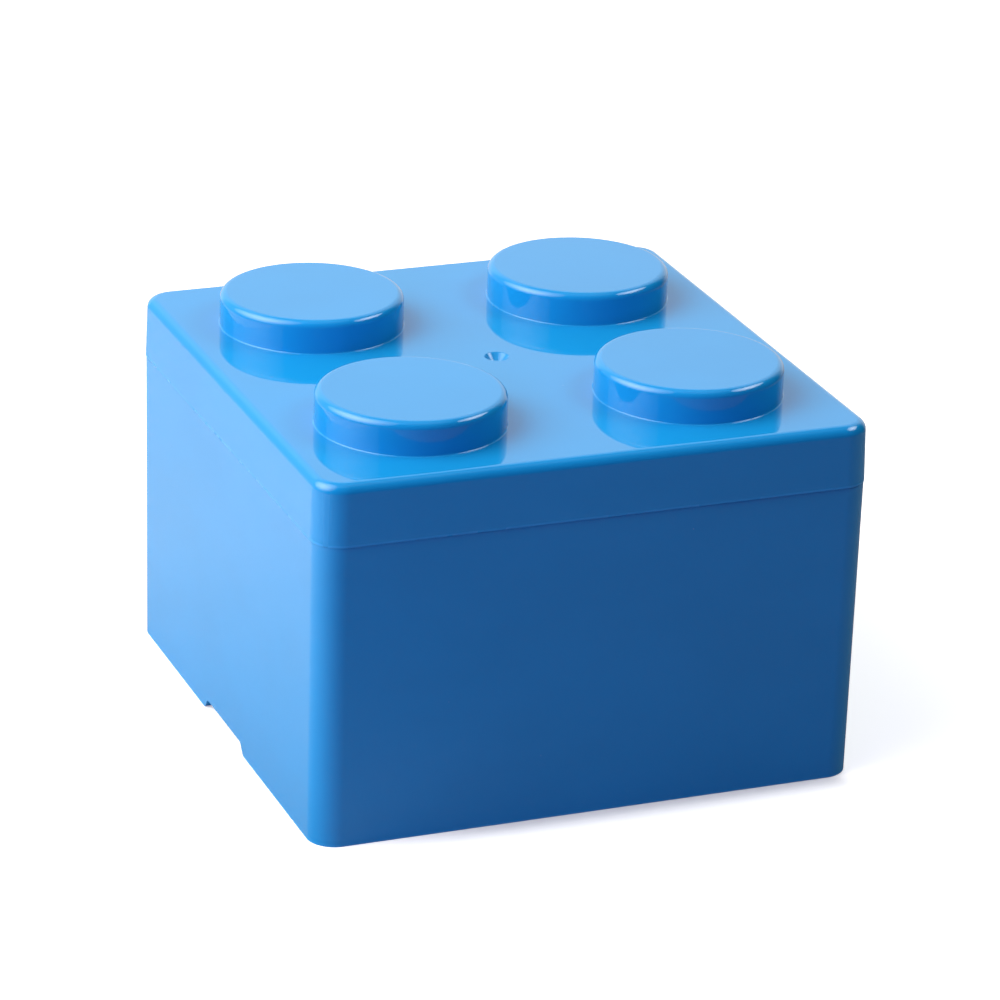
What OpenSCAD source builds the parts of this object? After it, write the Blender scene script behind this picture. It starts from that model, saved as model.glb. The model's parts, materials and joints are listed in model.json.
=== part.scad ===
// Stackable storage box shaped like a square building brick.
// Two mouldings: an open box, and a lid with four hollow round studs that lifts off.
// The studs of one box plug into the round sockets under the next.
// Millimetres, +Z up. The origin is the middle of the foot, and the notches face -X and +X.

/* [Overall] */
// Width and depth of the lid, measured at the seam
lid_w = 115; // [105:0.5:140]
// Height of the seam above the foot
box_h = 62.6; // [40:0.2:90]
// Height of the lid, from the seam to its flat top
lid_h = 12.6; // [10.5:0.1:20]
// Radius of the lid's upright corners at the seam
corner_r = 6; // [5:0.1:12]

/* [Studs] */
// Radius of a stud
stud_r = 18.8; // [14:0.1:24]
// Height of a stud above the lid's flat top
stud_h = 6.9; // [5:0.1:9]
// Distance from a side of the lid to the middle of the nearest stud
stud_inset = 28.25; // [25:0.25:34]
// Rounding of a stud's top edge
stud_round = 1.6; // [0.4:0.1:2.4]
// Fillet round the foot of a stud
stud_root = 0.3; // [0.1:0.1:1]

/* [Wall thicknesses] */
// Top, upper sides and studs of the lid
lid_t = 2; // [1.6:0.1:2.6]
// Thin lower part of the lid's sides, which passes outside the rim
skirt_t = 1.2; // [1:0.1:1.5]
// Rim that stands up inside the lid
rim_t = 1.2; // [0.9:0.1:1.6]
// Floor of the box
floor_t = 2; // [1.4:0.1:3]
// Skirt round the foot, below the floor
foot_t = 2; // [1.4:0.1:2.6]
// Rings of the sockets
socket_t = 1.5; // [1:0.1:2.5]
// Webs that join the rings to each other and to the foot
web_t = 1.5; // [1:0.1:2.5]

/* [Draft of the walls] */
// How far each side of the lid leans in from the seam to the top
lid_lean = 0.3; // [0:0.05:0.6]
// How far each side of the box leans in from the seam to the foot
box_lean = 0.25; // [0:0.05:0.6]
// How far each inner side of the box leans in from the rim to the floor
cavity_lean = 0.3; // [0:0.05:0.6]
// How far the inner side of the foot leans in from the ground to the floor
foot_lean = 0.2; // [0:0.05:0.4]

/* [Fit of the lid] */
// How far each side of the lid stands out past the box at the seam
lid_lap = 0.2; // [0.1:0.05:0.6]
// Height of the rim above the seam
rim_h = 5; // [3:0.1:7]
// Clearance between the rim and the lid's skirt
rim_gap = 0.2; // [0.1:0.05:0.4]
// Clearance above the rim
rim_head = 0.5; // [0.2:0.1:1]
// Clearance left between the lid's skirt and the grip ribs on the rim
grip_gap = 0.05; // [0.02:0.01:0.08]
// Radius of a grip rib
grip_r = 0.6; // [0.4:0.1:0.9]
// Distance from the middle of a side to each of its two grip ribs
grip_x = 32; // [15:1:40]

/* [Fit of one box on the next] */
// Clearance round a stud in its socket
socket_gap = 0.3; // [0.15:0.05:0.6]
// Clearance between the top of a stud and the floor above it
socket_head = 0.5; // [0.2:0.1:1.5]
// Height of the webs' lower edge above the ground
web_lift = 0.8; // [0.4:0.1:2]

/* [Edges] */
// Rounding of the lid's top edge
lid_round = 2; // [0.5:0.1:3]
// Rounding of the lid's lower outer edge
lip_round = 0.1; // [0.1:0.05:0.8]
// Rounding of the box's outer edge at the seam
shoulder_round = 0.1; // [0.1:0.05:0.4]
// Rounding of the rim's top outer edge
rim_round = 0.5; // [0.1:0.1:0.8]
// Rounding of the outer edge of the foot
foot_round = 0.1; // [0.1:0.05:1]
// Rounding of the inside edges of the floor and of the lid
inner_round = 1.2; // [0.3:0.1:2]
// Chamfer at the mouth of a socket
socket_mouth = 0.6; // [0.3:0.1:1]

/* [Notches in the foot] */
// Width of a notch, at half its height
notch_w = 23; // [10:0.5:40]
// Height of a notch
notch_h = 2.4; // [1.4:0.1:4]
// Slope of a notch's ends, in degrees from upright
notch_slope = 35; // [15:5:50]
// Rounding of a notch's ends into its top
notch_round = 1.3; // [0.2:0.1:2]
// Rounding of a notch's ends over into the foot's lower edge
notch_flare = 1.8; // [0.2:0.1:2.4]

/* [Gate marks] */
// Radius of the dish round a gate mark, at its mouth
gate_r = 2.5; // [2:0.1:5]
// Radius of the dish at its bottom
gate_floor_r = 1.2; // [1.2:0.1:2]
// Depth of the dish in the lid
lid_gate_d = 1.4; // [0.7:0.1:1.6]
// Depth of the dish under the floor of the box
box_gate_d = 0.9; // [0.6:0.1:1]
// Radius of the gate stub in the dish, at its foot
gate_stub_r = 0.8; // [0.7:0.1:1]
// Radius of the gate stub at its tip
gate_stub_tip_r = 0.6; // [0.4:0.1:0.7]
// Height of the gate stub
gate_stub_h = 0.4; // [0.2:0.1:0.5]
// Width of the pad that backs the dish, past its edge
gate_pad_edge = 1.4; // [0.5:0.1:3]
// Thickness of the pad
gate_pad_t = 0.8; // [0.4:0.1:1.5]

/* [Hidden] */
$fn = 96;
eps = 0.01; // how far a cutter runs past a face that it opens
plastic_blue = [0.09, 0.54, 0.78];

// Every upright corner of both pieces is turned about the same four axes.
corner_x = lid_w / 2 - corner_r;
top_z = box_h + lid_h;
stud_x = lid_w / 2 - stud_inset;
stud_places = [for (x = [-1, 1], y = [-1, 1]) [x * stud_x, y * stud_x]];

// The half widths of the stack of walls at the seam, from the outside in.
lid_half = lid_w / 2;
box_half = lid_half - lid_lap;
skirt_inner_half = lid_half - skirt_t;
rim_half = skirt_inner_half - rim_gap;
cavity_half = rim_half - rim_t;
foot_half = box_half - box_lean;

foot_h = stud_h + socket_head;
floor_z = foot_h + floor_t;
rim_top_z = box_h + rim_h;
rebate_h = rim_h + rim_head;
socket_r = stud_r + socket_gap;
ring_r = socket_r + socket_t;

// The lid's side at a height above the seam, as a half width.
function lid_half_at(h) = lid_half - lid_lean * h / lid_h;

// The angle that a side leans in by, from base wide at z = 0 to top wide at z = h.
function lean_angle(base, top, h) = atan((base - top) / h);

// The centre, at height z, of an arc of radius r that touches such a side from within.
function arc_centre(base, top, h, z, r) = [
    base + (top - base) * z / h - r / cos(lean_angle(base, top, h)),
    z
];

// The disc that rounds an edge, without what would lie on the far side of the corner axis.
module rounding_disc(centre, r) {
    intersection() {
        translate(centre) circle(r);
        translate([0, centre.y - 2 * r]) square([centre.x + 2 * r, 4 * r]);
    }
}

// Half of the outline of a drafted wall: x runs out from the corner axis, y runs up.
// The outer edge is rounded by r_base at its lower end and by r_top at its upper end.
module wall_outline(base, top, h, r_base = 0, r_top = 0) {
    lean = lean_angle(base, top, h);
    low = arc_centre(base, top, h, r_base, r_base);
    high = arc_centre(base, top, h, h - r_top, r_top);
    outwards = [cos(lean), sin(lean)];
    lower_end = r_base > 0 ? [[low.x, 0], low, low + r_base * outwards] : [[base, 0]];
    upper_end = r_top > 0 ? [high + r_top * outwards, high, [high.x, h]] : [[top, h]];
    polygon(concat([[0, 0]], lower_end, upper_end, [[0, h]]));
    if (r_base > 0) rounding_disc(low, r_base);
    if (r_top > 0) rounding_disc(high, r_top);
}

// Carries an outline round the four corners and along the four sides, and fills the middle.
module block(h) {
    for (turn = [0, 90, 180, 270]) {
        rotate(turn) translate([corner_x, corner_x, 0]) rotate_extrude(angle = 90) children();
        rotate(turn) translate([corner_x, 0, 0]) rotate([90, 0, 0]) {
            linear_extrude(2 * corner_x, center = true) children();
        }
    }
    translate([-corner_x, -corner_x, 0]) cube([2 * corner_x, 2 * corner_x, h]);
}

// A block with rounded corners and drafted sides, from its half widths at the base and the top.
module drafted_block(z, base, top, h, r_base = 0, r_top = 0) {
    translate([0, 0, z]) block(h) wall_outline(base - corner_x, top - corner_x, h, r_base, r_top);
}

// A round dish sunk from z = 0, with the stub of the gate left standing in it.
module gate_dish(depth) {
    difference() {
        translate([0, 0, -depth]) cylinder(depth + eps, r1 = gate_floor_r, r2 = gate_r);
        translate([0, 0, -depth - eps]) cylinder(gate_stub_h + eps, r1 = gate_stub_r, r2 = gate_stub_tip_r);
    }
}

// The outline of a stud: a straight side, a rounded top edge and a fillet at the foot.
module stud_outline() {
    wall_outline(stud_r, stud_r, stud_h, 0, stud_round);
    difference() {
        square([stud_r + stud_root, stud_root]);
        translate([stud_r + stud_root, stud_root]) circle(stud_root);
    }
}

module lid_shell() {
    drafted_block(box_h, lid_half, lid_half - lid_lean, lid_h, lip_round, lid_round);
    for (place = stud_places) translate([place.x, place.y, top_z]) rotate_extrude() stud_outline();
}

// The space under the lid: the rebate that the rim stands in, the part above it, and the studs.
module lid_space() {
    upper_h = lid_h - lid_t - rebate_h;
    drafted_block(box_h - eps, skirt_inner_half, skirt_inner_half, rebate_h + eps);
    drafted_block(
        box_h + rebate_h - eps,
        lid_half_at(rebate_h) - lid_t,
        lid_half_at(lid_h) - lid_t,
        upper_h + eps,
        0,
        inner_round
    );
    for (place = stud_places) {
        translate([place.x, place.y, top_z - lid_t - eps]) cylinder(stud_h + eps, r = stud_r - lid_t);
    }
}

module lid() {
    color(plastic_blue) {
        difference() {
            union() {
                difference() {
                    lid_shell();
                    lid_space();
                }
                translate([0, 0, top_z - lid_t - gate_pad_t]) cylinder(gate_pad_t + eps, r = gate_r + gate_pad_edge);
            }
            translate([0, 0, top_z]) gate_dish(lid_gate_d);
        }
    }
}

// A rib that grips the lid's skirt, upright on the rim and rounded towards it.
module grip_ribs() {
    rib_y = rim_half + rim_gap - grip_gap - grip_r;
    for (turn = [0, 90, 180, 270], side = [-1, 1]) {
        rotate(turn) translate([side * grip_x, rib_y, box_h - eps]) {
            cylinder(rim_h - rim_round - grip_r + eps, r = grip_r);
            translate([0, 0, rim_h - rim_round - grip_r]) sphere(grip_r);
        }
    }
}

module box_shell() {
    drafted_block(0, foot_half, box_half, box_h, foot_round, shoulder_round);
    drafted_block(box_h - eps, rim_half, rim_half, rim_h + eps, 0, rim_round);
    grip_ribs();
}

module box_space() {
    space_h = rim_top_z - floor_z;
    drafted_block(floor_z, cavity_half - cavity_lean, cavity_half, space_h + eps, inner_round, 0);
}

// The recess inside the foot, with the rings and webs left standing in it.
module foot_space() {
    recess_half = foot_half - foot_t;
    web_h = foot_h - web_lift;
    difference() {
        drafted_block(-eps, recess_half, recess_half - foot_lean, foot_h + eps);
        for (place = stud_places) translate([place.x, place.y, 0]) cylinder(foot_h + eps, r = ring_r);
        for (turn = [0, 90], side = [-1, 1]) {
            rotate(turn) translate([-box_half, side * stud_x - web_t / 2, web_lift]) {
                cube([2 * box_half, web_t, web_h + eps]);
            }
        }
    }
}

module sockets() {
    for (place = stud_places) translate([place.x, place.y, 0]) {
        translate([0, 0, -eps]) cylinder(foot_h + eps, r = socket_r);
        translate([0, 0, -eps]) cylinder(socket_mouth + eps, r1 = socket_r + socket_mouth, r2 = socket_r);
    }
}

// How far from a notch's middle the centre of an arc of radius r is that touches the sloping end,
// from within the notch (side -1) or from within the foot (side 1).
function notch_arc_x(r, side) =
    notch_w / 2 + side * (r + (notch_h / 2 - r) * sin(notch_slope)) / cos(notch_slope);

// Half of the outline of a notch, with its sloping end rounded at the top and at the foot's lower edge.
module half_notch() {
    into_foot = [cos(notch_slope), sin(notch_slope)];
    top_arc = [notch_arc_x(notch_round, -1), notch_h - notch_round];
    foot_arc = [notch_arc_x(notch_flare, 1), notch_flare];
    difference() {
        polygon([
            [0, -eps],
            [foot_arc.x, -eps],
            foot_arc,
            foot_arc - notch_flare * into_foot,
            top_arc + notch_round * into_foot,
            top_arc,
            [top_arc.x, notch_h],
            [0, notch_h]
        ]);
        translate(foot_arc) circle(notch_flare);
    }
    translate(top_arc) circle(notch_round);
}

module notch_outline() {
    half_notch();
    mirror([1, 0]) half_notch();
}

// One notch through the foot on the -X side and one on the +X side.
module notches() {
    inner = foot_half - foot_t - foot_lean - eps;
    for (turn = [0, 180]) {
        rotate(turn) translate([inner, 0, 0]) rotate([90, 0, 90]) linear_extrude(box_half - inner) notch_outline();
    }
}

module box() {
    color(plastic_blue) {
        difference() {
            box_shell();
            box_space();
            foot_space();
            sockets();
            notches();
            translate([0, 0, foot_h]) mirror([0, 0, 1]) gate_dish(box_gate_d);
        }
    }
}

box();
lid();
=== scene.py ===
"""Looks of the brick shaped storage box: its studio, its box and lift-off lid, and their glossy plastic.

Metres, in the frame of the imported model: +Z up, the origin in the middle of the foot.
"""

import json
import math

import bmesh
import bpy
from mathutils import Matrix, Quaternion, Vector


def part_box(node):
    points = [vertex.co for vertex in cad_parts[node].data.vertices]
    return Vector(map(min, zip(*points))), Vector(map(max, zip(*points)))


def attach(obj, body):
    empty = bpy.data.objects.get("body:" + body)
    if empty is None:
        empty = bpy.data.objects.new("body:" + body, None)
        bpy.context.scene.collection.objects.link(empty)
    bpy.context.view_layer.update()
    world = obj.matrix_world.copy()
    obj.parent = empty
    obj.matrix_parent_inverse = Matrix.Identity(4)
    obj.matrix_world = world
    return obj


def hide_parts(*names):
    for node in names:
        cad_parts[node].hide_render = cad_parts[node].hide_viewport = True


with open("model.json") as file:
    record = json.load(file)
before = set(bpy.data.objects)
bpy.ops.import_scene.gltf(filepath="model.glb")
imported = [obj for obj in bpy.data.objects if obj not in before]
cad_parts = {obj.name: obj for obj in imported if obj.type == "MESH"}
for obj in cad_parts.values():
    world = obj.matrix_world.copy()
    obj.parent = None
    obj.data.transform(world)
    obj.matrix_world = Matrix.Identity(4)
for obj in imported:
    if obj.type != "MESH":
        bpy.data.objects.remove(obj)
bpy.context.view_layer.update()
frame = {"record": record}

MM = 0.001

# What the frame says: the pieces' corners, and the interfaces of the record.
lid_low, lid_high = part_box("lid")
box_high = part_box("box")[1]
mounts = {mount["name"]: mount for mount in frame["record"]["mounts"]}
stud_mount = mounts["stud_front_left"]
STUD_R = stud_mount["dims"]["r_mm"] * MM
STUD_X = abs(stud_mount["pos_m"][0])
SOCKET_R = mounts["sockets"]["dims"]["hole_r_mm"] * MM
TOP_Z = mounts["lid_top"]["pos_m"][2]
SEAM_Z = lid_low.z
STUD_TOP_Z = lid_high.z
RIM_TOP_Z = box_high.z

QUARTERS = [(x, y) for x in (-1, 1) for y in (-1, 1)]
FOUR_TURNS = [math.radians(turn) for turn in (0, 90, 180, 270)]
STUD_PLACES = [(x * STUD_X, y * STUD_X) for x, y in QUARTERS]

# The walls at the seam, from the outside in: the lid's skirt, which stands out past the box, and the rim.
SEAM_STEP = 0.2 * MM
SKIRT_WALL = 1.2 * MM
RIM_GAP = 0.2 * MM
RIM_WALL = 1.2 * MM
CORNER_R = 6 * MM  # the lid's upright corners

# Their half widths. The rounded lip keeps the lid's mesh just short of its nominal width, so that width is
# read to the nearest 0.1 mm.
LID_HALF = round(lid_high.x, 4)
BOX_HALF = LID_HALF - SEAM_STEP
SKIRT_INNER_HALF = LID_HALF - SKIRT_WALL
RIM_HALF = SKIRT_INNER_HALF - RIM_GAP
CAVITY_HALF = RIM_HALF - RIM_WALL
CORNER_AXIS = LID_HALF - CORNER_R

# How far the walls lean in over their height.
LID_LEAN = 0.3 * MM
BOX_LEAN = 0.25 * MM
CAVITY_LEAN = 0.3 * MM
FOOT_LEAN = 0.2 * MM

# The lid's top and hollow studs, and the rebate over the rim.
LID_WALL = 2 * MM
LID_UNDER_Z = TOP_Z - LID_WALL
HOLLOW_R = STUD_R - LID_WALL
HOLLOW_TOP_Z = STUD_TOP_Z - LID_WALL
RIM_HEADROOM = 0.5 * MM
REBATE_TOP_Z = RIM_TOP_Z + RIM_HEADROOM

# The box's floor, and the foot, rings and webs under it. The sockets have this headroom over the studs.
SOCKET_HEADROOM = 0.5 * MM
FOOT_H = STUD_TOP_Z - TOP_Z + SOCKET_HEADROOM
FLOOR_T = 2 * MM
FLOOR_Z = FOOT_H + FLOOR_T
FOOT_WALL = 2 * MM
FOOT_HALF = BOX_HALF - BOX_LEAN
RECESS_HALF = FOOT_HALF - FOOT_WALL
RING_WALL = 1.5 * MM
WEB_WALL = 1.5 * MM
WEB_LIFT = 0.8 * MM
SOCKET_CHAMFER = 0.6 * MM

# Roundings and fillets.
LID_ROUND = 2 * MM
STUD_ROUND = 1.6 * MM
STUD_ROOT = 0.3 * MM
LIP_ROUND = 0.1 * MM
SHOULDER_ROUND = 0.1 * MM
RIM_ROUND = 0.5 * MM
FOOT_ROUND = 0.1 * MM
INNER_ROUND = 1.2 * MM
HOLLOW_ROUND = 0.8 * MM
SMALL_ROUND = 0.3 * MM
FINE_ROUND = 0.12 * MM

# A notch, as wide as it is at half its height. Its ends slope by this angle from upright, and they are
# rounded into its top and, by the flare, over into the foot's lower edge.
NOTCH_W = 23 * MM
NOTCH_H = 2.4 * MM
NOTCH_SLOPE = math.radians(35)
NOTCH_ROUND = 1.3 * MM
NOTCH_FLARE = 1.8 * MM

# The ribs on the rim that grip the lid, each with a small flat left on its rounded top.
GRIP_R = 0.6 * MM
GRIP_X = 32 * MM
GRIP_GAP = 0.05 * MM
GRIP_ROUND = 0.9 * GRIP_R

# The dish round a gate mark, with the stub of the gate in it, and the pad behind the lid's dish.
GATE_R = 2.5 * MM
GATE_FLOOR_R = 1.2 * MM
LID_GATE_DEPTH = 1.4 * MM
BOX_GATE_DEPTH = 0.9 * MM
GATE_STUB_R = 0.8 * MM
GATE_STUB_TIP_R = 0.6 * MM
GATE_STUB_H = 0.4 * MM
GATE_PAD_R = 4 * MM
GATE_PAD_T = 0.8 * MM

# The ejector marks in the box's floor.
EJECTOR_R = 3 * MM
EJECTOR_DEPTH = 0.1 * MM
EJECTOR_X = 40 * MM
EJECTOR_PLACES = [(x * EJECTOR_X, y * EJECTOR_X) for x, y in QUARTERS]

# Up to what height the lid's lip is lightened, a painted glow that stands in for the light line along the
# seam, and up to what height the box's foot is rubbed.
LID_PAINTED_GLOW_TO = SEAM_Z + 0.5 * MM
BOX_WORN_TO = 0.4 * MM
NO_LIGHTER_EDGE = -1.0  # below everything

# Steps in the round stretches.
CORNER_STEPS = 16
STUD_STEPS = 160
SMALL_STEPS = 48
GRIP_STEPS = 24
FLARE_STEPS = 72  # with a step at the slope's angle

OVERRUN = 1 * MM  # how far a cutting tool runs past the face that it opens
OVERLAP = OVERRUN / 2  # how far a part that is joined on reaches into the other
NEAR = 0.02 * MM  # how near a point is to a face or an axis that it counts as on it
MERGE_DISTANCE = 0.002 * MM  # how near two corners of a mesh are that they become one

EASED_ANGLE = math.radians(40)  # an edge that turns more than this is eased
SMOOTH_ANGLE = math.radians(60)  # and one that still turns more than this is shaded as sharp
FLAT_FACE_WEIGHT = 80  # how far the large faces set the normals at their edges

# Camera, at the azimuth, elevation and roll of the view, in degrees, with its aim off the origin.
CAMERA_AZIMUTH = -21.944
CAMERA_ELEVATION = 22.031
CAMERA_ROLL = 1.903
CAMERA_DISTANCE = 0.96498
CAMERA_AIM = (0.002968, 0.040738)
CAMERA_LENS = 167.65
CAMERA_SENSOR = 36


# ---------------------------------------------------------------- modelling by hand

def deselect_all():
    bpy.ops.object.select_all(action="DESELECT")


def make_active(piece):
    deselect_all()
    piece.select_set(True)
    bpy.context.view_layer.objects.active = piece


def edit(piece):
    make_active(piece)
    bpy.ops.object.mode_set(mode="EDIT")
    bpy.ops.mesh.select_all(action="DESELECT")


def leave_edit():
    bpy.ops.object.mode_set(mode="OBJECT")


def pick(kind, test):
    """Selects the vertices, edges or faces of the edited mesh whose corners and middle all pass the test."""
    bpy.ops.mesh.select_mode(type=kind)
    bpy.ops.mesh.select_all(action="DESELECT")
    mesh = bmesh.from_edit_mesh(bpy.context.object.data)
    for part in {"VERT": mesh.verts, "EDGE": mesh.edges, "FACE": mesh.faces}[kind]:
        corners = [part.co] if kind == "VERT" else [vertex.co for vertex in part.verts]
        middle = sum(corners, Vector()) / len(corners)
        if all(test(point) for point in corners + [middle]):
            part.select_set(True)
    bmesh.update_edit_mesh(bpy.context.object.data)


def at_height(z):
    """A test for points at height z."""
    return lambda point: abs(point.z - z) < NEAR


def from_nearest_stud(point):
    """The distance from the nearest stud's axis."""
    return math.hypot(abs(point.x) - STUD_X, abs(point.y) - STUD_X)


def from_middle(point):
    """The distance from the upright axis through the origin."""
    return math.hypot(point.x, point.y)


def on_ring(z, radius, distance=from_nearest_stud):
    """A test for points at height z and at this radius round an axis."""
    return lambda point: abs(point.z - z) < NEAR and abs(distance(point) - radius) < NEAR


def half_width_at(point):
    """The half width of the square block whose side goes through the point."""
    return max(abs(point.x), abs(point.y))


def round_edges(piece, test, width, steps):
    """Bevels the edges that pass the test, by this width, in this many steps."""
    edit(piece)
    pick("EDGE", test)
    bpy.ops.mesh.bevel(
        offset_type="OFFSET",
        offset=width,
        segments=steps,
        profile=0.5,
        affect="EDGES",
        clamp_overlap=False,
        loop_slide=False,
    )
    leave_edit()


def add_block(name, z_low, z_high, half_low, half_high):
    """A square block with round upright corners, whose sides lean from half_low below to half_high above."""
    middle = (z_low + z_high) / 2
    size = (2 * half_low, 2 * half_low, z_high - z_low)
    deselect_all()
    bpy.ops.mesh.primitive_cube_add(size=1, location=(0, 0, middle), scale=size)
    block = bpy.context.object
    block.name = name
    bpy.ops.object.transform_apply(location=True, rotation=True, scale=True)
    edit(block)
    mesh = bmesh.from_edit_mesh(block.data)
    bpy.ops.mesh.select_mode(type="EDGE")
    for edge in mesh.edges:
        edge.select_set(abs(edge.verts[0].co.z - edge.verts[1].co.z) > NEAR)
    bmesh.update_edit_mesh(block.data)
    bpy.ops.mesh.bevel(
        offset=half_low - CORNER_AXIS,
        segments=CORNER_STEPS,
        profile=0.5,
        affect="EDGES",
        clamp_overlap=False,
    )
    pick("VERT", at_height(z_high))
    lean = half_high / half_low
    bpy.ops.transform.resize(value=(lean, lean, 1), center_override=(0, 0, z_high))
    leave_edit()
    return block


def add_round(name, place, radius, z_low, z_high, steps=STUD_STEPS):
    """An upright cylinder at a place, from z_low to z_high."""
    deselect_all()
    bpy.ops.mesh.primitive_cylinder_add(
        vertices=steps,
        radius=radius,
        depth=z_high - z_low,
        location=(place[0], place[1], (z_low + z_high) / 2),
    )
    drum = bpy.context.object
    drum.name = name
    bpy.ops.object.transform_apply(location=True, rotation=True, scale=True)
    return drum


def add_bar(name, low, high):
    """A straight bar between two corners."""
    low, high = Vector(low), Vector(high)
    deselect_all()
    bpy.ops.mesh.primitive_cube_add(size=1, location=(low + high) / 2, scale=high - low)
    bar = bpy.context.object
    bar.name = name
    bpy.ops.object.transform_apply(location=True, rotation=True, scale=True)
    return bar


def turned_copy(piece, turn):
    """A copy with its own mesh, turned about the upright axis through the origin."""
    copy = piece.copy()
    copy.data = piece.data.copy()
    bpy.context.scene.collection.objects.link(copy)
    copy.data.transform(Matrix.Rotation(turn, 4, "Z"))
    return copy


def combine(piece, tool, operation):
    """Joins the tool to the piece or cuts it away, and removes the tool."""
    make_active(piece)
    modifier = piece.modifiers.new(operation.lower(), "BOOLEAN")
    modifier.solver = "EXACT"
    modifier.operation = operation
    modifier.object = tool
    bpy.ops.object.modifier_apply(modifier=modifier.name)
    bpy.data.objects.remove(tool, do_unlink=True)
    return piece


def add_gate_dish(name, depth):
    """The tool that cuts a gate dish into a face at z = 0, with the gate's stub left standing in it."""
    dish = add_round(name, (0, 0), GATE_FLOOR_R, -depth, OVERRUN, SMALL_STEPS)
    edit(dish)
    pick("VERT", at_height(OVERRUN))
    mouth = (GATE_R + (GATE_R - GATE_FLOOR_R) * OVERRUN / depth) / GATE_FLOOR_R
    bpy.ops.transform.resize(value=(mouth, mouth, 1), center_override=(0, 0, OVERRUN))
    pick("FACE", at_height(-depth))
    bpy.ops.mesh.inset(thickness=GATE_FLOOR_R - GATE_STUB_R)
    bpy.ops.mesh.extrude_region_move(TRANSFORM_OT_translate={"value": (0, 0, GATE_STUB_H)})
    stub_top = GATE_STUB_H - depth
    tip = GATE_STUB_TIP_R / GATE_STUB_R
    bpy.ops.transform.resize(value=(tip, tip, 1), center_override=(0, 0, stub_top))
    leave_edit()
    round_edges(dish, on_ring(stub_top, GATE_STUB_TIP_R, from_middle), FINE_ROUND, steps=3)
    return dish


def tidy_mesh(piece):
    """Merges corners that lie on each other, and turns every face outwards."""
    edit(piece)
    bpy.ops.mesh.select_all(action="SELECT")
    bpy.ops.mesh.remove_doubles(threshold=MERGE_DISTANCE)
    bpy.ops.mesh.normals_make_consistent(inside=False)
    leave_edit()


def ease_sharp_edges(piece):
    """Takes the sharpness off every edge that has no rounding of its own."""
    make_active(piece)
    modifier = piece.modifiers.new("ease", "BEVEL")
    modifier.limit_method = "ANGLE"
    modifier.angle_limit = EASED_ANGLE
    modifier.width = FINE_ROUND
    modifier.segments = 2
    modifier.loop_slide = False
    bpy.ops.object.modifier_apply(modifier=modifier.name)


def smooth(piece):
    """Smooth shading, with normals that keep the flat faces flat."""
    make_active(piece)
    bpy.ops.object.shade_smooth_by_angle(angle=SMOOTH_ANGLE)
    modifier = piece.modifiers.new("flat faces", "WEIGHTED_NORMAL")
    modifier.keep_sharp = True
    modifier.weight = FLAT_FACE_WEIGHT
    bpy.ops.object.modifier_apply(modifier=modifier.name)


def finish_mesh(piece):
    tidy_mesh(piece)
    ease_sharp_edges(piece)
    smooth(piece)


# ---------------------------------------------------------------- the lid

def lid_space():
    """The space under the lid: the rebate for the rim, the part above it, and the hollows of the studs."""
    lean = LID_LEAN * (LID_UNDER_Z - REBATE_TOP_Z) / (TOP_Z - SEAM_Z)
    upper_half = LID_HALF - LID_LEAN - LID_WALL
    space = add_block("lid_space", REBATE_TOP_Z - OVERRUN, LID_UNDER_Z, upper_half + lean, upper_half)
    round_edges(space, at_height(LID_UNDER_Z), INNER_ROUND, steps=6)
    for place in STUD_PLACES:
        hollow = add_round("hollow", place, HOLLOW_R, LID_UNDER_Z - OVERRUN, HOLLOW_TOP_Z)
        round_edges(hollow, at_height(HOLLOW_TOP_Z), HOLLOW_ROUND, steps=5)
        combine(space, hollow, "UNION")
    round_edges(space, on_ring(LID_UNDER_Z, HOLLOW_R), SMALL_ROUND, steps=3)
    rebate = add_block("rebate", SEAM_Z - OVERRUN, REBATE_TOP_Z, SKIRT_INNER_HALF, SKIRT_INNER_HALF)
    return combine(space, rebate, "UNION")


def add_lid_gate(lid):
    """The pad under the middle of the lid, and the gate's dish over it."""
    pad_z = LID_UNDER_Z - GATE_PAD_T
    pad = add_round("gate_pad", (0, 0), GATE_PAD_R, pad_z, TOP_Z - LID_WALL / 2, SMALL_STEPS)
    round_edges(pad, at_height(pad_z), SMALL_ROUND, steps=3)
    combine(lid, pad, "UNION")
    dish = add_gate_dish("gate_dish", LID_GATE_DEPTH)
    dish.data.transform(Matrix.Translation((0, 0, TOP_Z)))
    combine(lid, dish, "DIFFERENCE")
    round_edges(lid, on_ring(TOP_Z, GATE_R, from_middle), FINE_ROUND, steps=3)


def model_lid():
    lid = add_block("lid_moulding", SEAM_Z, TOP_Z, LID_HALF, LID_HALF - LID_LEAN)
    round_edges(lid, at_height(TOP_Z), LID_ROUND, steps=12)
    round_edges(lid, at_height(SEAM_Z), LIP_ROUND, steps=6)
    for place in STUD_PLACES:
        stud = add_round("stud", place, STUD_R, TOP_Z - LID_WALL / 2, STUD_TOP_Z)
        round_edges(stud, at_height(STUD_TOP_Z), STUD_ROUND, steps=12)
        combine(lid, stud, "UNION")
    round_edges(lid, on_ring(TOP_Z, STUD_R), STUD_ROOT, steps=4)
    combine(lid, lid_space(), "DIFFERENCE")
    add_lid_gate(lid)
    finish_mesh(lid)
    return lid


# ---------------------------------------------------------------- the box

def add_grip_ribs(box):
    """Two upright ribs with rounded tops on each side of the rim."""
    rib_top = RIM_TOP_Z - RIM_ROUND
    place = (GRIP_X, SKIRT_INNER_HALF - GRIP_GAP - GRIP_R)
    rib = add_round("grip_rib", place, GRIP_R, SEAM_Z - OVERLAP, rib_top, GRIP_STEPS)
    round_edges(rib, at_height(rib_top), GRIP_ROUND, steps=5)
    for shift in (0, -2 * GRIP_X):
        rib.data.transform(Matrix.Translation((shift, 0, 0)))
        for turn in FOUR_TURNS:
            combine(box, turned_copy(rib, turn), "UNION")
    bpy.data.objects.remove(rib, do_unlink=True)


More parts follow.
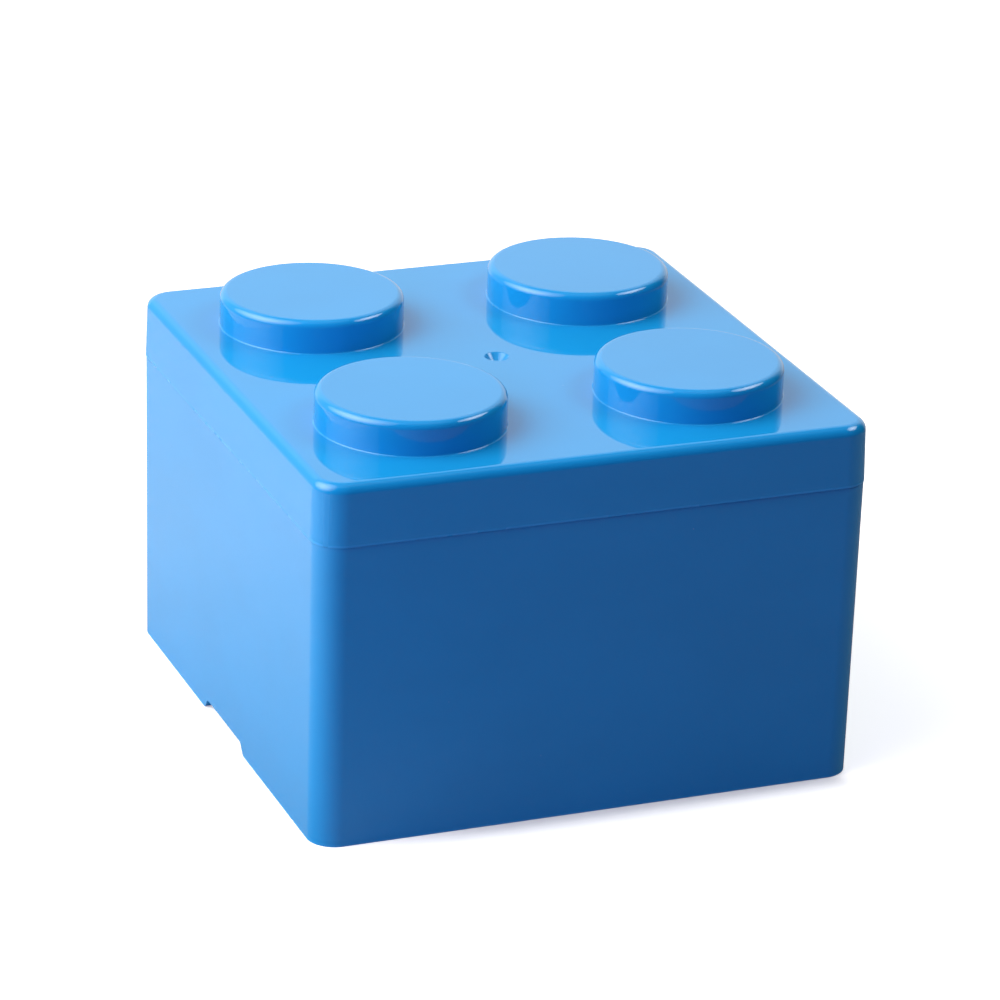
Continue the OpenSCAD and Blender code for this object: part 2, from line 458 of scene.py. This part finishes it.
def rings_and_webs():
    """The socket rings under the floor and the webs that tie them to each other and to the foot."""
    top = FOOT_H + OVERLAP
    reach = RECESS_HALF + OVERLAP
    lattice = None
    for turn in FOUR_TURNS:
        low = (STUD_X - WEB_WALL / 2, -reach, WEB_LIFT)
        high = (STUD_X + WEB_WALL / 2, reach, top)
        web = add_bar("web", low, high)
        web.data.transform(Matrix.Rotation(turn, 4, "Z"))
        lattice = web if lattice is None else combine(lattice, web, "UNION")
    for place in STUD_PLACES:
        ring = add_round("ring", place, SOCKET_R + RING_WALL, 0, top)
        combine(lattice, ring, "UNION")
    for place in STUD_PLACES:
        socket = add_round("socket", place, SOCKET_R, -OVERRUN, top + OVERRUN)
        combine(lattice, socket, "DIFFERENCE")
    round_edges(lattice, on_ring(0, SOCKET_R), SOCKET_CHAMFER, steps=1)
    return lattice


def add_notch_flare(side, outer, inner):
    """The part of the notch's tool that rounds one of its ends over into the foot's lower edge."""
    lean, rise = math.sin(NOTCH_SLOPE), math.cos(NOTCH_SLOPE)
    foot = side * (NOTCH_W / 2 + (NOTCH_FLARE + (NOTCH_H / 2 - NOTCH_FLARE) * lean) / rise)
    start = foot - side * NOTCH_FLARE * rise
    top = NOTCH_FLARE * (1 - lean)
    flare = add_bar("flare", (outer, min(start, foot), -OVERRUN), (inner, max(start, foot), top))
    wall = add_round("flare_wall", (0, 0), NOTCH_FLARE, outer - OVERRUN, inner + OVERRUN, FLARE_STEPS)
    wall.data.transform(Matrix.Rotation(math.pi / 2, 4, "Y"))
    wall.data.transform(Matrix.Translation((0, foot, NOTCH_FLARE)))
    return combine(flare, wall, "DIFFERENCE")


def add_notch(name):
    """The tool that cuts the notch through the foot on the -X side."""
    outer = -BOX_HALF - OVERRUN
    inner = -(RECESS_HALF - FOOT_LEAN - OVERLAP)
    low = NOTCH_W / 2 + (NOTCH_H / 2 + OVERRUN) * math.tan(NOTCH_SLOPE)
    high = NOTCH_W / 2 - NOTCH_H / 2 * math.tan(NOTCH_SLOPE)
    notch = add_bar(name, (outer, -low, -OVERRUN), (inner, low, NOTCH_H))
    edit(notch)
    pick("VERT", at_height(NOTCH_H))
    bpy.ops.transform.resize(value=(1, high / low, 1), center_override=(0, 0, NOTCH_H))
    leave_edit()

    def top_corner(point):
        return abs(point.z - NOTCH_H) < NEAR and abs(abs(point.y) - high) < NEAR

    corner_turn = math.pi / 2 - NOTCH_SLOPE
    round_edges(notch, top_corner, NOTCH_ROUND * math.tan(corner_turn / 2), steps=8)
    for side in (-1, 1):
        combine(notch, add_notch_flare(side, outer, inner), "UNION")
    return notch


def cut_box_marks(box):
    """The gate's dish in the middle of the underside, and the ejector marks on the floor inside."""
    dish = add_gate_dish("gate_dish", BOX_GATE_DEPTH)
    dish.data.transform(Matrix.Translation((0, 0, FOOT_H)) @ Matrix.Rotation(math.pi, 4, "X"))
    combine(box, dish, "DIFFERENCE")
    mark_low, mark_high = FLOOR_Z - EJECTOR_DEPTH, FLOOR_Z + OVERRUN
    for place in EJECTOR_PLACES:
        mark = add_round("ejector_mark", place, EJECTOR_R, mark_low, mark_high, SMALL_STEPS)
        combine(box, mark, "DIFFERENCE")


def model_box():
    box = add_block("box_moulding", 0, SEAM_Z, FOOT_HALF, BOX_HALF)
    round_edges(box, at_height(SEAM_Z), SHOULDER_ROUND, steps=4)
    round_edges(box, at_height(0), FOOT_ROUND, steps=5)
    rim = add_block("rim", SEAM_Z - OVERRUN, RIM_TOP_Z, RIM_HALF, RIM_HALF)
    round_edges(rim, at_height(RIM_TOP_Z), RIM_ROUND, steps=5)
    combine(box, rim, "UNION")
    add_grip_ribs(box)
    cavity = add_block("cavity", FLOOR_Z, RIM_TOP_Z + OVERRUN, CAVITY_HALF - CAVITY_LEAN, CAVITY_HALF)
    round_edges(cavity, at_height(FLOOR_Z), INNER_ROUND, steps=8)
    combine(box, cavity, "DIFFERENCE")
    recess = add_block("recess", -OVERRUN, FOOT_H, RECESS_HALF, RECESS_HALF - FOOT_LEAN)
    round_edges(recess, at_height(FOOT_H), SMALL_ROUND, steps=3)
    combine(box, recess, "DIFFERENCE")
    combine(box, rings_and_webs(), "UNION")
    notch = add_notch("notch")
    combine(box, turned_copy(notch, math.pi), "DIFFERENCE")
    combine(box, notch, "DIFFERENCE")
    cut_box_marks(box)
    finish_mesh(box)
    return box


# ---------------------------------------------------------------- shader nodes

# The colour sockets of a Mix node, which has others of the same names for numbers and vectors.
MIX_FIRST, MIX_SECOND, MIX_RESULT = 6, 7, 2


def link(tree, source, target):
    tree.links.new(source, target)


def calculate(tree, operation, first, second=0.0):
    """One Math node. Each input is a number or another node's output."""
    node = tree.nodes.new("ShaderNodeMath")
    node.operation = operation
    for socket, value in zip(node.inputs, (first, second)):
        if isinstance(value, (int, float)):
            socket.default_value = value
        else:
            link(tree, value, socket)
    return node.outputs["Value"]


def multiply(tree, first, second):
    return calculate(tree, "MULTIPLY", first, second)


def add(tree, first, second):
    return calculate(tree, "ADD", first, second)


def from_centre(tree, across, along):
    """The distance from the centre, from a point's two coordinates."""
    squares = add(tree, calculate(tree, "POWER", across, 2.0), calculate(tree, "POWER", along, 2.0))
    return calculate(tree, "SQRT", squares)


def ramp(tree, value, start, end, low=0.0, high=1.0):
    """A smooth step: low where value is at start, high where it is at end."""
    node = tree.nodes.new("ShaderNodeMapRange")
    node.interpolation_type = "SMOOTHSTEP"
    link(tree, value, node.inputs["Value"])
    for socket, number in (("From Min", start), ("From Max", end), ("To Min", low), ("To Max", high)):
        node.inputs[socket].default_value = number
    return node.outputs["Result"]


def separate(tree, vector):
    """The X, Y and Z of a vector."""
    node = tree.nodes.new("ShaderNodeSeparateXYZ")
    link(tree, vector, node.inputs["Vector"])
    return [node.outputs[axis] for axis in "XYZ"]


def object_point(tree, scale=(1, 1, 1), turn=(0, 0, 0)):
    """The point on the piece, stretched and turned."""
    coordinates = tree.nodes.new("ShaderNodeTexCoord")
    mapping = tree.nodes.new("ShaderNodeMapping")
    mapping.inputs["Scale"].default_value = scale
    mapping.inputs["Rotation"].default_value = turn
    link(tree, coordinates.outputs["Object"], mapping.inputs["Vector"])
    return mapping.outputs["Vector"]


def noise(tree, point, scale, detail=2.0, roughness=0.5):
    """Soft clouds between 0 and 1, of about this many to the metre."""
    node = tree.nodes.new("ShaderNodeTexNoise")
    node.inputs["Scale"].default_value = scale
    node.inputs["Detail"].default_value = detail
    node.inputs["Roughness"].default_value = roughness
    link(tree, point, node.inputs["Vector"])
    return node.outputs["Fac"]


def mix_colours(tree, factor, first, second):
    node = tree.nodes.new("ShaderNodeMix")
    node.data_type = "RGBA"
    link(tree, factor, node.inputs["Factor"])
    for socket, value in ((node.inputs[MIX_FIRST], first), (node.inputs[MIX_SECOND], second)):
        if isinstance(value, tuple):
            socket.default_value = value
        else:
            link(tree, value, socket)
    return node.outputs[MIX_RESULT]


def new_group(name, inputs, outputs):
    """A shader node group. Each input has a kind and a default value, each output has a kind."""
    group = bpy.data.node_groups.new(name, "ShaderNodeTree")
    for socket_name, (kind, value) in inputs.items():
        socket = group.interface.new_socket(socket_name, in_out="INPUT", socket_type=kind)
        socket.default_value = value
    for socket_name, kind in outputs.items():
        group.interface.new_socket(socket_name, in_out="OUTPUT", socket_type=kind)
    return group, group.nodes.new("NodeGroupInput"), group.nodes.new("NodeGroupOutput")


def use_group(tree, group, **values):
    """A group placed in a material. An underscore in a value's name stands for a space."""
    node = tree.nodes.new("ShaderNodeGroup")
    node.node_tree = group
    for name, value in values.items():
        node.inputs[name.replace("_", " ")].default_value = value
    return node


# ---------------------------------------------------------------- the plastic

PLASTIC_BLUE = (0.008, 0.252, 0.575, 1)
DEEPER_BLUE = tuple(0.96 * channel for channel in PLASTIC_BLUE[:3]) + (1,)
# The lighter blue of the lower edges: painted glow on the lid's lip, wear on the box's foot.
GLOW_AND_WEAR_BLUE = (0.03, 0.36, 0.76, 1)
DUST_GREY = (0.5, 0.55, 0.6, 1)
PLASTIC_IOR = 1.5

# How much of the dust's colour and of the lighter edge blue shows, the painted glow on the lid's lip and the
# wear on the box's foot, and how much roughness each mark adds.
DUST_COVER, GLOW_AND_WEAR_COVER = 0.1, 0.45
RUB_ROUGHNESS, DUST_ROUGHNESS, GLOW_AND_WEAR_ROUGHNESS = 0.12, 0.15, 0.3

# The two finishes of the mould. The heights of the waves and of the grain are in metres.
POLISHED = {"roughness": 0.03, "long_waves": 12e-6, "fine_grain": 0.0, "marks_amount": 1.0}
SATIN = {"roughness": 0.34, "long_waves": 8e-6, "fine_grain": 4e-6, "marks_amount": 0.3}

# The hairline rubs run three ways, each with its turn and the stretch of its noise.
HAIRLINES = ((0.4, (60, 900, 60)), (1.9, (900, 70, 500)), (2.7, (50, 700, 900)))


def make_surface_waviness():
    """A moulded face is never quite flat: long low waves that bend what it mirrors."""
    tree, given, made = new_group(
        "Surface waviness",
        {"Long waves": ("NodeSocketFloat", 12e-6), "Fine grain": ("NodeSocketFloat", 0.0)},
        {"Normal": "NodeSocketVector"},
    )
    point = object_point(tree)
    long_waves = tree.nodes.new("ShaderNodeBump")
    link(tree, noise(tree, point, scale=45), long_waves.inputs["Height"])
    link(tree, given.outputs["Long waves"], long_waves.inputs["Distance"])
    fine_grain = tree.nodes.new("ShaderNodeBump")
    link(tree, noise(tree, point, scale=2200, detail=3.0, roughness=0.6), fine_grain.inputs["Height"])
    link(tree, given.outputs["Fine grain"], fine_grain.inputs["Distance"])
    link(tree, long_waves.outputs["Normal"], fine_grain.inputs["Normal"])
    link(tree, fine_grain.outputs["Normal"], made.inputs["Normal"])
    return tree


def make_handling_marks():
    """Hairline rubs and specks of dust, as two masks."""
    tree, given, made = new_group(
        "Handling marks",
        {"Amount": ("NodeSocketFloat", 1.0)},
        {"Rubs": "NodeSocketFloat", "Specks": "NodeSocketFloat"},
    )
    rubs = 0.0
    for turn, scale in HAIRLINES:
        point = object_point(tree, scale, (0.3 * turn, 0.2, turn))
        # Only the crests of the noise leave a mark.
        hairline = ramp(tree, noise(tree, point, scale=1.0, detail=1.0), 0.71, 0.76)
        rubs = calculate(tree, "MAXIMUM", hairline, rubs)
    patches = ramp(tree, noise(tree, object_point(tree), scale=35, detail=1.0), 0.5, 0.68)
    rubs = multiply(tree, rubs, patches)
    cells = tree.nodes.new("ShaderNodeTexVoronoi")
    cells.inputs["Scale"].default_value = 420
    link(tree, object_point(tree), cells.inputs["Vector"])
    grains = ramp(tree, cells.outputs["Distance"], 0.085, 0.05)
    sparse = ramp(tree, noise(tree, object_point(tree), scale=90), 0.64, 0.7)
    specks = multiply(tree, grains, sparse)
    link(tree, multiply(tree, rubs, given.outputs["Amount"]), made.inputs["Rubs"])
    link(tree, multiply(tree, specks, given.outputs["Amount"]), made.inputs["Specks"])
    return tree


def make_edge_glow_and_wear():
    """The lower edge of a moulding made lighter, as a mask: a painted glow on the lid's lip, a rubbed band
    on the box's foot.
    """
    tree, given, made = new_group(
        "Edge glow and wear",
        {"Up to": ("NodeSocketFloat", 0.0)},
        {"Glow and wear": "NodeSocketFloat"},
    )
    height = separate(tree, object_point(tree))[2]
    above = calculate(tree, "SUBTRACT", height, given.outputs["Up to"])
    edge = ramp(tree, above, 0.1 * MM, -0.1 * MM)
    uneven = ramp(tree, noise(tree, object_point(tree), scale=60, detail=3.0), 0.3, 0.6, low=0.7)
    link(tree, multiply(tree, edge, uneven), made.inputs["Glow and wear"])
    return tree


def make_plastic(name, groups, finish, glow_and_wear_up_to):
    """Self-coloured plastic in one of the mould's finishes, with light handling marks and a lighter band
    along its lower edge: a painted glow on the lid's lip, wear on the box's foot.
    """
    material = bpy.data.materials.new(name)
    material.use_nodes = True
    tree = material.node_tree
    shader = tree.nodes["Principled BSDF"]
    shader.inputs["IOR"].default_value = PLASTIC_IOR

    waviness, marks, edge = groups
    surface = use_group(tree, waviness, Long_waves=finish["long_waves"], Fine_grain=finish["fine_grain"])
    link(tree, surface.outputs["Normal"], shader.inputs["Normal"])
    handled = use_group(tree, marks, Amount=finish["marks_amount"])
    rubs, specks = handled.outputs["Rubs"], handled.outputs["Specks"]
    glow_and_wear = use_group(tree, edge, Up_to=glow_and_wear_up_to).outputs["Glow and wear"]

    flow = noise(tree, object_point(tree, (1, 1, 2)), scale=28, detail=3.0)
    colour = mix_colours(tree, ramp(tree, flow, 0.35, 0.65), DEEPER_BLUE, PLASTIC_BLUE)
    colour = mix_colours(tree, multiply(tree, specks, DUST_COVER), colour, DUST_GREY)
    # The lighter lower edge: a painted glow on the lid's lip, wear on the box's foot.
    colour = mix_colours(tree, multiply(tree, glow_and_wear, GLOW_AND_WEAR_COVER), colour, GLOW_AND_WEAR_BLUE)
    link(tree, colour, shader.inputs["Base Color"])

    roughness = add(tree, multiply(tree, rubs, RUB_ROUGHNESS), finish["roughness"])
    roughness = add(tree, multiply(tree, glow_and_wear, GLOW_AND_WEAR_ROUGHNESS), roughness)
    roughness = add(tree, multiply(tree, specks, DUST_ROUGHNESS), roughness)
    link(tree, roughness, shader.inputs["Roughness"])
    return material


def paint(piece, outside, inside, is_inside):
    """Gives the piece its outside finish, and the faces whose every corner is inside their own."""
    for material in (outside, inside):
        piece.data.materials.append(material)
    edit(piece)
    pick("FACE", is_inside)
    piece.active_material_index = 1
    bpy.ops.object.material_slot_assign()
    leave_edit()


def inside_lid(point):
    under_top = half_width_at(point) < SKIRT_INNER_HALF + NEAR and point.z < LID_UNDER_Z + NEAR
    in_stud = from_nearest_stud(point) < STUD_R - LID_WALL / 2 and point.z < STUD_TOP_Z - LID_WALL / 2
    return under_top or in_stud


def inside_box(point):
    return half_width_at(point) < CAVITY_HALF + SMALL_ROUND


# ---------------------------------------------------------------- the studio

LAMP_TARGET = Vector((0, 0, 0.04))

# What the object mirrors behind it and overhead. An edge is soft between two azimuths or elevations, in
# degrees, and the left part of the backdrop is dimmer.
BACKDROP_LEFT_EDGE = (-66, -56)
BACKDROP_RIGHT_EDGE = (74, 46)
BACKDROP_TOP_EDGE = (62, 48)
BACKDROP_DIM_EDGE = (-27, -12)
BACKDROP_DIMMED = 0.52
CEILING_EDGE = (55, 75)
CEILING_BRIGHTNESS = 0.48
SURROUNDINGS_BRIGHTNESS = 1.04

# The floor, for the camera: its white, and the light that it gives by itself.
FLOOR_SIZE = 3
FLOOR_WHITE = 0.8
FLOOR_GLOW = 0.45
FLOOR_FADE = (0.35, 0.7)  # how far from the middle it starts and ends to fade out
CONTACT_REACH = 7 * MM  # how far the shade at the foot of the front reaches out over the floor
CONTACT_DARKEST = (-0.25 * BOX_HALF, CORNER_AXIS)  # between these it is at its darkest

# The floor, for the object: pale behind and darker in front, along a line at this azimuth.
BOUNCE_AZIMUTH = 140
BOUNCE_REACH = (-0.14, 0.11)
BOUNCE_WHITES = (0.6, 0.185)


def add_camera():
    """The camera looks along -back. It is moved sideways and up by its aim, and turned by its roll."""
    azimuth, elevation = math.radians(CAMERA_AZIMUTH), math.radians(CAMERA_ELEVATION)
    roll = math.radians(CAMERA_ROLL)
    flat = math.cos(elevation)
    back = Vector((math.sin(azimuth) * flat, -math.cos(azimuth) * flat, math.sin(elevation)))
    level = Vector((math.cos(azimuth), math.sin(azimuth), 0))
    upright = back.cross(level)
    right = level * math.cos(roll) + upright * math.sin(roll)
    up = upright * math.cos(roll) - level * math.sin(roll)
    place = right * CAMERA_AIM[0] + up * CAMERA_AIM[1] + back * CAMERA_DISTANCE
    turn = Matrix((right, up, back)).transposed().to_euler()
    bpy.ops.object.camera_add(location=place, rotation=turn)
    camera = bpy.context.object
    camera.name = "studio_camera"
    camera.data.lens = CAMERA_LENS
    camera.data.sensor_width = CAMERA_SENSOR
    bpy.context.scene.camera = camera


def towards(azimuth, elevation):
    """A direction: azimuth 0 is behind the object, 90 on its right and -90 on its left, in degrees."""
    azimuth, elevation = math.radians(azimuth), math.radians(elevation)
    flat = math.cos(elevation)
    return Vector((math.sin(azimuth) * flat, math.cos(azimuth) * flat, math.sin(elevation)))


def soften_rim(lamp, rim):
    """Makes an oval lamp fade from its middle to this share of its brightness at the rim."""
    lamp.shape = "ELLIPSE"
    lamp.use_nodes = True
    tree = lamp.node_tree
    surface = tree.nodes.new("ShaderNodeNewGeometry")
    place = separate(tree, surface.outputs["Parametric"])
    # These coordinates run from 0 to 1 across the lamp, so its middle is at 0.5 and its rim 0.5 from there.
    across, upwards = (calculate(tree, "SUBTRACT", part, 0.5) for part in place[:2])
    glow = ramp(tree, from_centre(tree, across, upwards), 0, 0.5, low=1.0, high=rim)
    link(tree, glow, tree.nodes["Emission"].inputs["Strength"])


def add_softbox(
    name, azimuth, elevation, distance, size, brightness, colour=(1, 1, 1), rim=None, roll=0, in_gloss=True
):
    """A lamp that faces the object and that the camera doesn't see.

    Its brightness is that of its surface, where 1 is the white of the surroundings. With a rim it is oval
    and fades towards it. A lamp that isn't in the gloss only fills in shadows.
    """
    direction = towards(azimuth, elevation)
    turn = (direction.to_track_quat("Z", "Y") @ Quaternion((0, 0, 1), math.radians(roll))).to_euler()
    bpy.ops.object.light_add(type="AREA", location=LAMP_TARGET + direction * distance, rotation=turn)
    lamp = bpy.context.object
    lamp.name = name
    lamp.data.shape = "RECTANGLE"
    lamp.data.size, lamp.data.size_y = size
    area = size[0] * size[1]
    if rim is not None:
        soften_rim(lamp.data, rim)
        area *= math.pi / 4
    lamp.data.energy = brightness * math.pi * area
    lamp.data.color = colour
    lamp.visible_camera = False
    lamp.visible_glossy = in_gloss


def add_surroundings():
    """White for the camera. For the light on the object: a pale backdrop behind, dark in front."""
    world = bpy.data.worlds.new("studio")
    bpy.context.scene.world = world
    world.use_nodes = True
    tree = world.node_tree
    tree.nodes.clear()
    coordinates = tree.nodes.new("ShaderNodeTexCoord")
    x, y, z = separate(tree, coordinates.outputs["Generated"])
    azimuth = multiply(tree, calculate(tree, "ARCTAN2", x, y), 180 / math.pi)
    elevation = multiply(tree, calculate(tree, "ARCSINE", z), 180 / math.pi)

    left = ramp(tree, azimuth, *BACKDROP_LEFT_EDGE)
    dimmed = ramp(tree, azimuth, *BACKDROP_DIM_EDGE, low=BACKDROP_DIMMED)
    right = ramp(tree, azimuth, *BACKDROP_RIGHT_EDGE)
    top = ramp(tree, elevation, *BACKDROP_TOP_EDGE)
    backdrop = multiply(tree, multiply(tree, multiply(tree, left, dimmed), right), top)
    ceiling = ramp(tree, elevation, *CEILING_EDGE, high=CEILING_BRIGHTNESS)
    light = multiply(tree, calculate(tree, "MAXIMUM", backdrop, ceiling), SURROUNDINGS_BRIGHTNESS)

    rays = tree.nodes.new("ShaderNodeLightPath")
    seen = calculate(tree, "MAXIMUM", rays.outputs["Is Camera Ray"], light)
    background = tree.nodes.new("ShaderNodeBackground")
    background.inputs["Color"].default_value = (1, 1, 1, 1)
    link(tree, seen, background.inputs["Strength"])
    output = tree.nodes.new("ShaderNodeOutputWorld")
    link(tree, background.outputs["Background"], output.inputs["Surface"])


def bounce_white(tree, x, y):
    """How pale the floor is for the light that it bounces onto the object."""
    forward = towards(BOUNCE_AZIMUTH, 0)
    ahead = add(tree, multiply(tree, x, forward.x), multiply(tree, y, forward.y))
    return ramp(tree, ahead, *BOUNCE_REACH, *BOUNCE_WHITES)


def contact_shade(tree, x, y):
    """A mask for the narrow shade along the foot of the front."""
    out_front = multiply(tree, y, -1.0)
    near_foot = ramp(tree, out_front, FOOT_HALF, BOX_HALF + CONTACT_REACH, low=1.0, high=0.0)
    near_foot = multiply(tree, near_foot, calculate(tree, "GREATER_THAN", out_front, 0.0))
    left_end = ramp(tree, x, -BOX_HALF, CONTACT_DARKEST[0])
    right_end = ramp(tree, x, BOX_HALF, CONTACT_DARKEST[1])
    return multiply(tree, near_foot, multiply(tree, left_end, right_end))


def add_floor():
    """A pale floor that keeps the object's shadow and fades out into the white round it."""
    deselect_all()
    bpy.ops.mesh.primitive_plane_add(size=FLOOR_SIZE, location=(0, 0, 0))
    floor = bpy.context.object
    floor.name = "studio_floor"
    material = bpy.data.materials.new("studio floor")
    material.use_nodes = True
    tree = material.node_tree
    tree.nodes.clear()
    coordinates = tree.nodes.new("ShaderNodeTexCoord")
    x, y, _ = separate(tree, coordinates.outputs["Object"])
    camera_ray = tree.nodes.new("ShaderNodeLightPath").outputs["Is Camera Ray"]

    diffuse = tree.nodes.new("ShaderNodeBsdfDiffuse")
    seen_white = multiply(tree, camera_ray, FLOOR_WHITE)
    link(tree, calculate(tree, "MAXIMUM", seen_white, bounce_white(tree, x, y)), diffuse.inputs["Color"])
    glow = tree.nodes.new("ShaderNodeEmission")
    unshaded = multiply(tree, calculate(tree, "SUBTRACT", 1.0, contact_shade(tree, x, y)), camera_ray)
    link(tree, multiply(tree, unshaded, FLOOR_GLOW), glow.inputs["Strength"])
    lit = tree.nodes.new("ShaderNodeAddShader")
    link(tree, diffuse.outputs["BSDF"], lit.inputs[0])
    link(tree, glow.outputs["Emission"], lit.inputs[1])

    fade = tree.nodes.new("ShaderNodeMixShader")
    clear = tree.nodes.new("ShaderNodeBsdfTransparent")
    link(tree, ramp(tree, from_centre(tree, x, y), *FLOOR_FADE), fade.inputs["Fac"])
    link(tree, lit.outputs["Shader"], fade.inputs[1])
    link(tree, clear.outputs["BSDF"], fade.inputs[2])
    output = tree.nodes.new("ShaderNodeOutputMaterial")
    link(tree, fade.outputs["Shader"], output.inputs["Surface"])
    floor.data.materials.append(material)


# ---------------------------------------------------------------- the scene

add_camera()
add_surroundings()
add_floor()
add_softbox(
    "left_softbox",
    azimuth=-84,
    elevation=40.5,
    distance=0.75,
    size=(1.16, 1.18),
    brightness=8.0,
    colour=(1, 0.99, 0.95),
    rim=0.17,
    roll=10,
)
add_softbox(
    "right_softbox",
    azimuth=103,
    elevation=48,
    distance=0.8,
    size=(0.6, 0.36),
    brightness=9,
    rim=0.4,
)
add_softbox(
    "front_fill",
    azimuth=-140,
    elevation=14,
    distance=0.8,
    size=(0.5, 0.3),
    brightness=3.8,
    colour=(0.3, 0.3, 1),
    in_gloss=False,
)
bpy.context.scene.view_settings.view_transform = "Standard"

groups = make_surface_waviness(), make_handling_marks(), make_edge_glow_and_wear()
# The lid's plastic carries the painted glow along its lip.
polished_lid = make_plastic("polished lid plastic", groups, POLISHED, LID_PAINTED_GLOW_TO)
polished_box = make_plastic("polished box plastic", groups, POLISHED, BOX_WORN_TO)
satin = make_plastic("satin plastic", groups, SATIN, NO_LIGHTER_EDGE)

lid_piece = model_lid()
paint(lid_piece, polished_lid, satin, inside_lid)
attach(lid_piece, "lid")
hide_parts("lid")

box_piece = model_box()
paint(box_piece, polished_box, satin, inside_box)
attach(box_piece, "box")
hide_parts("box")
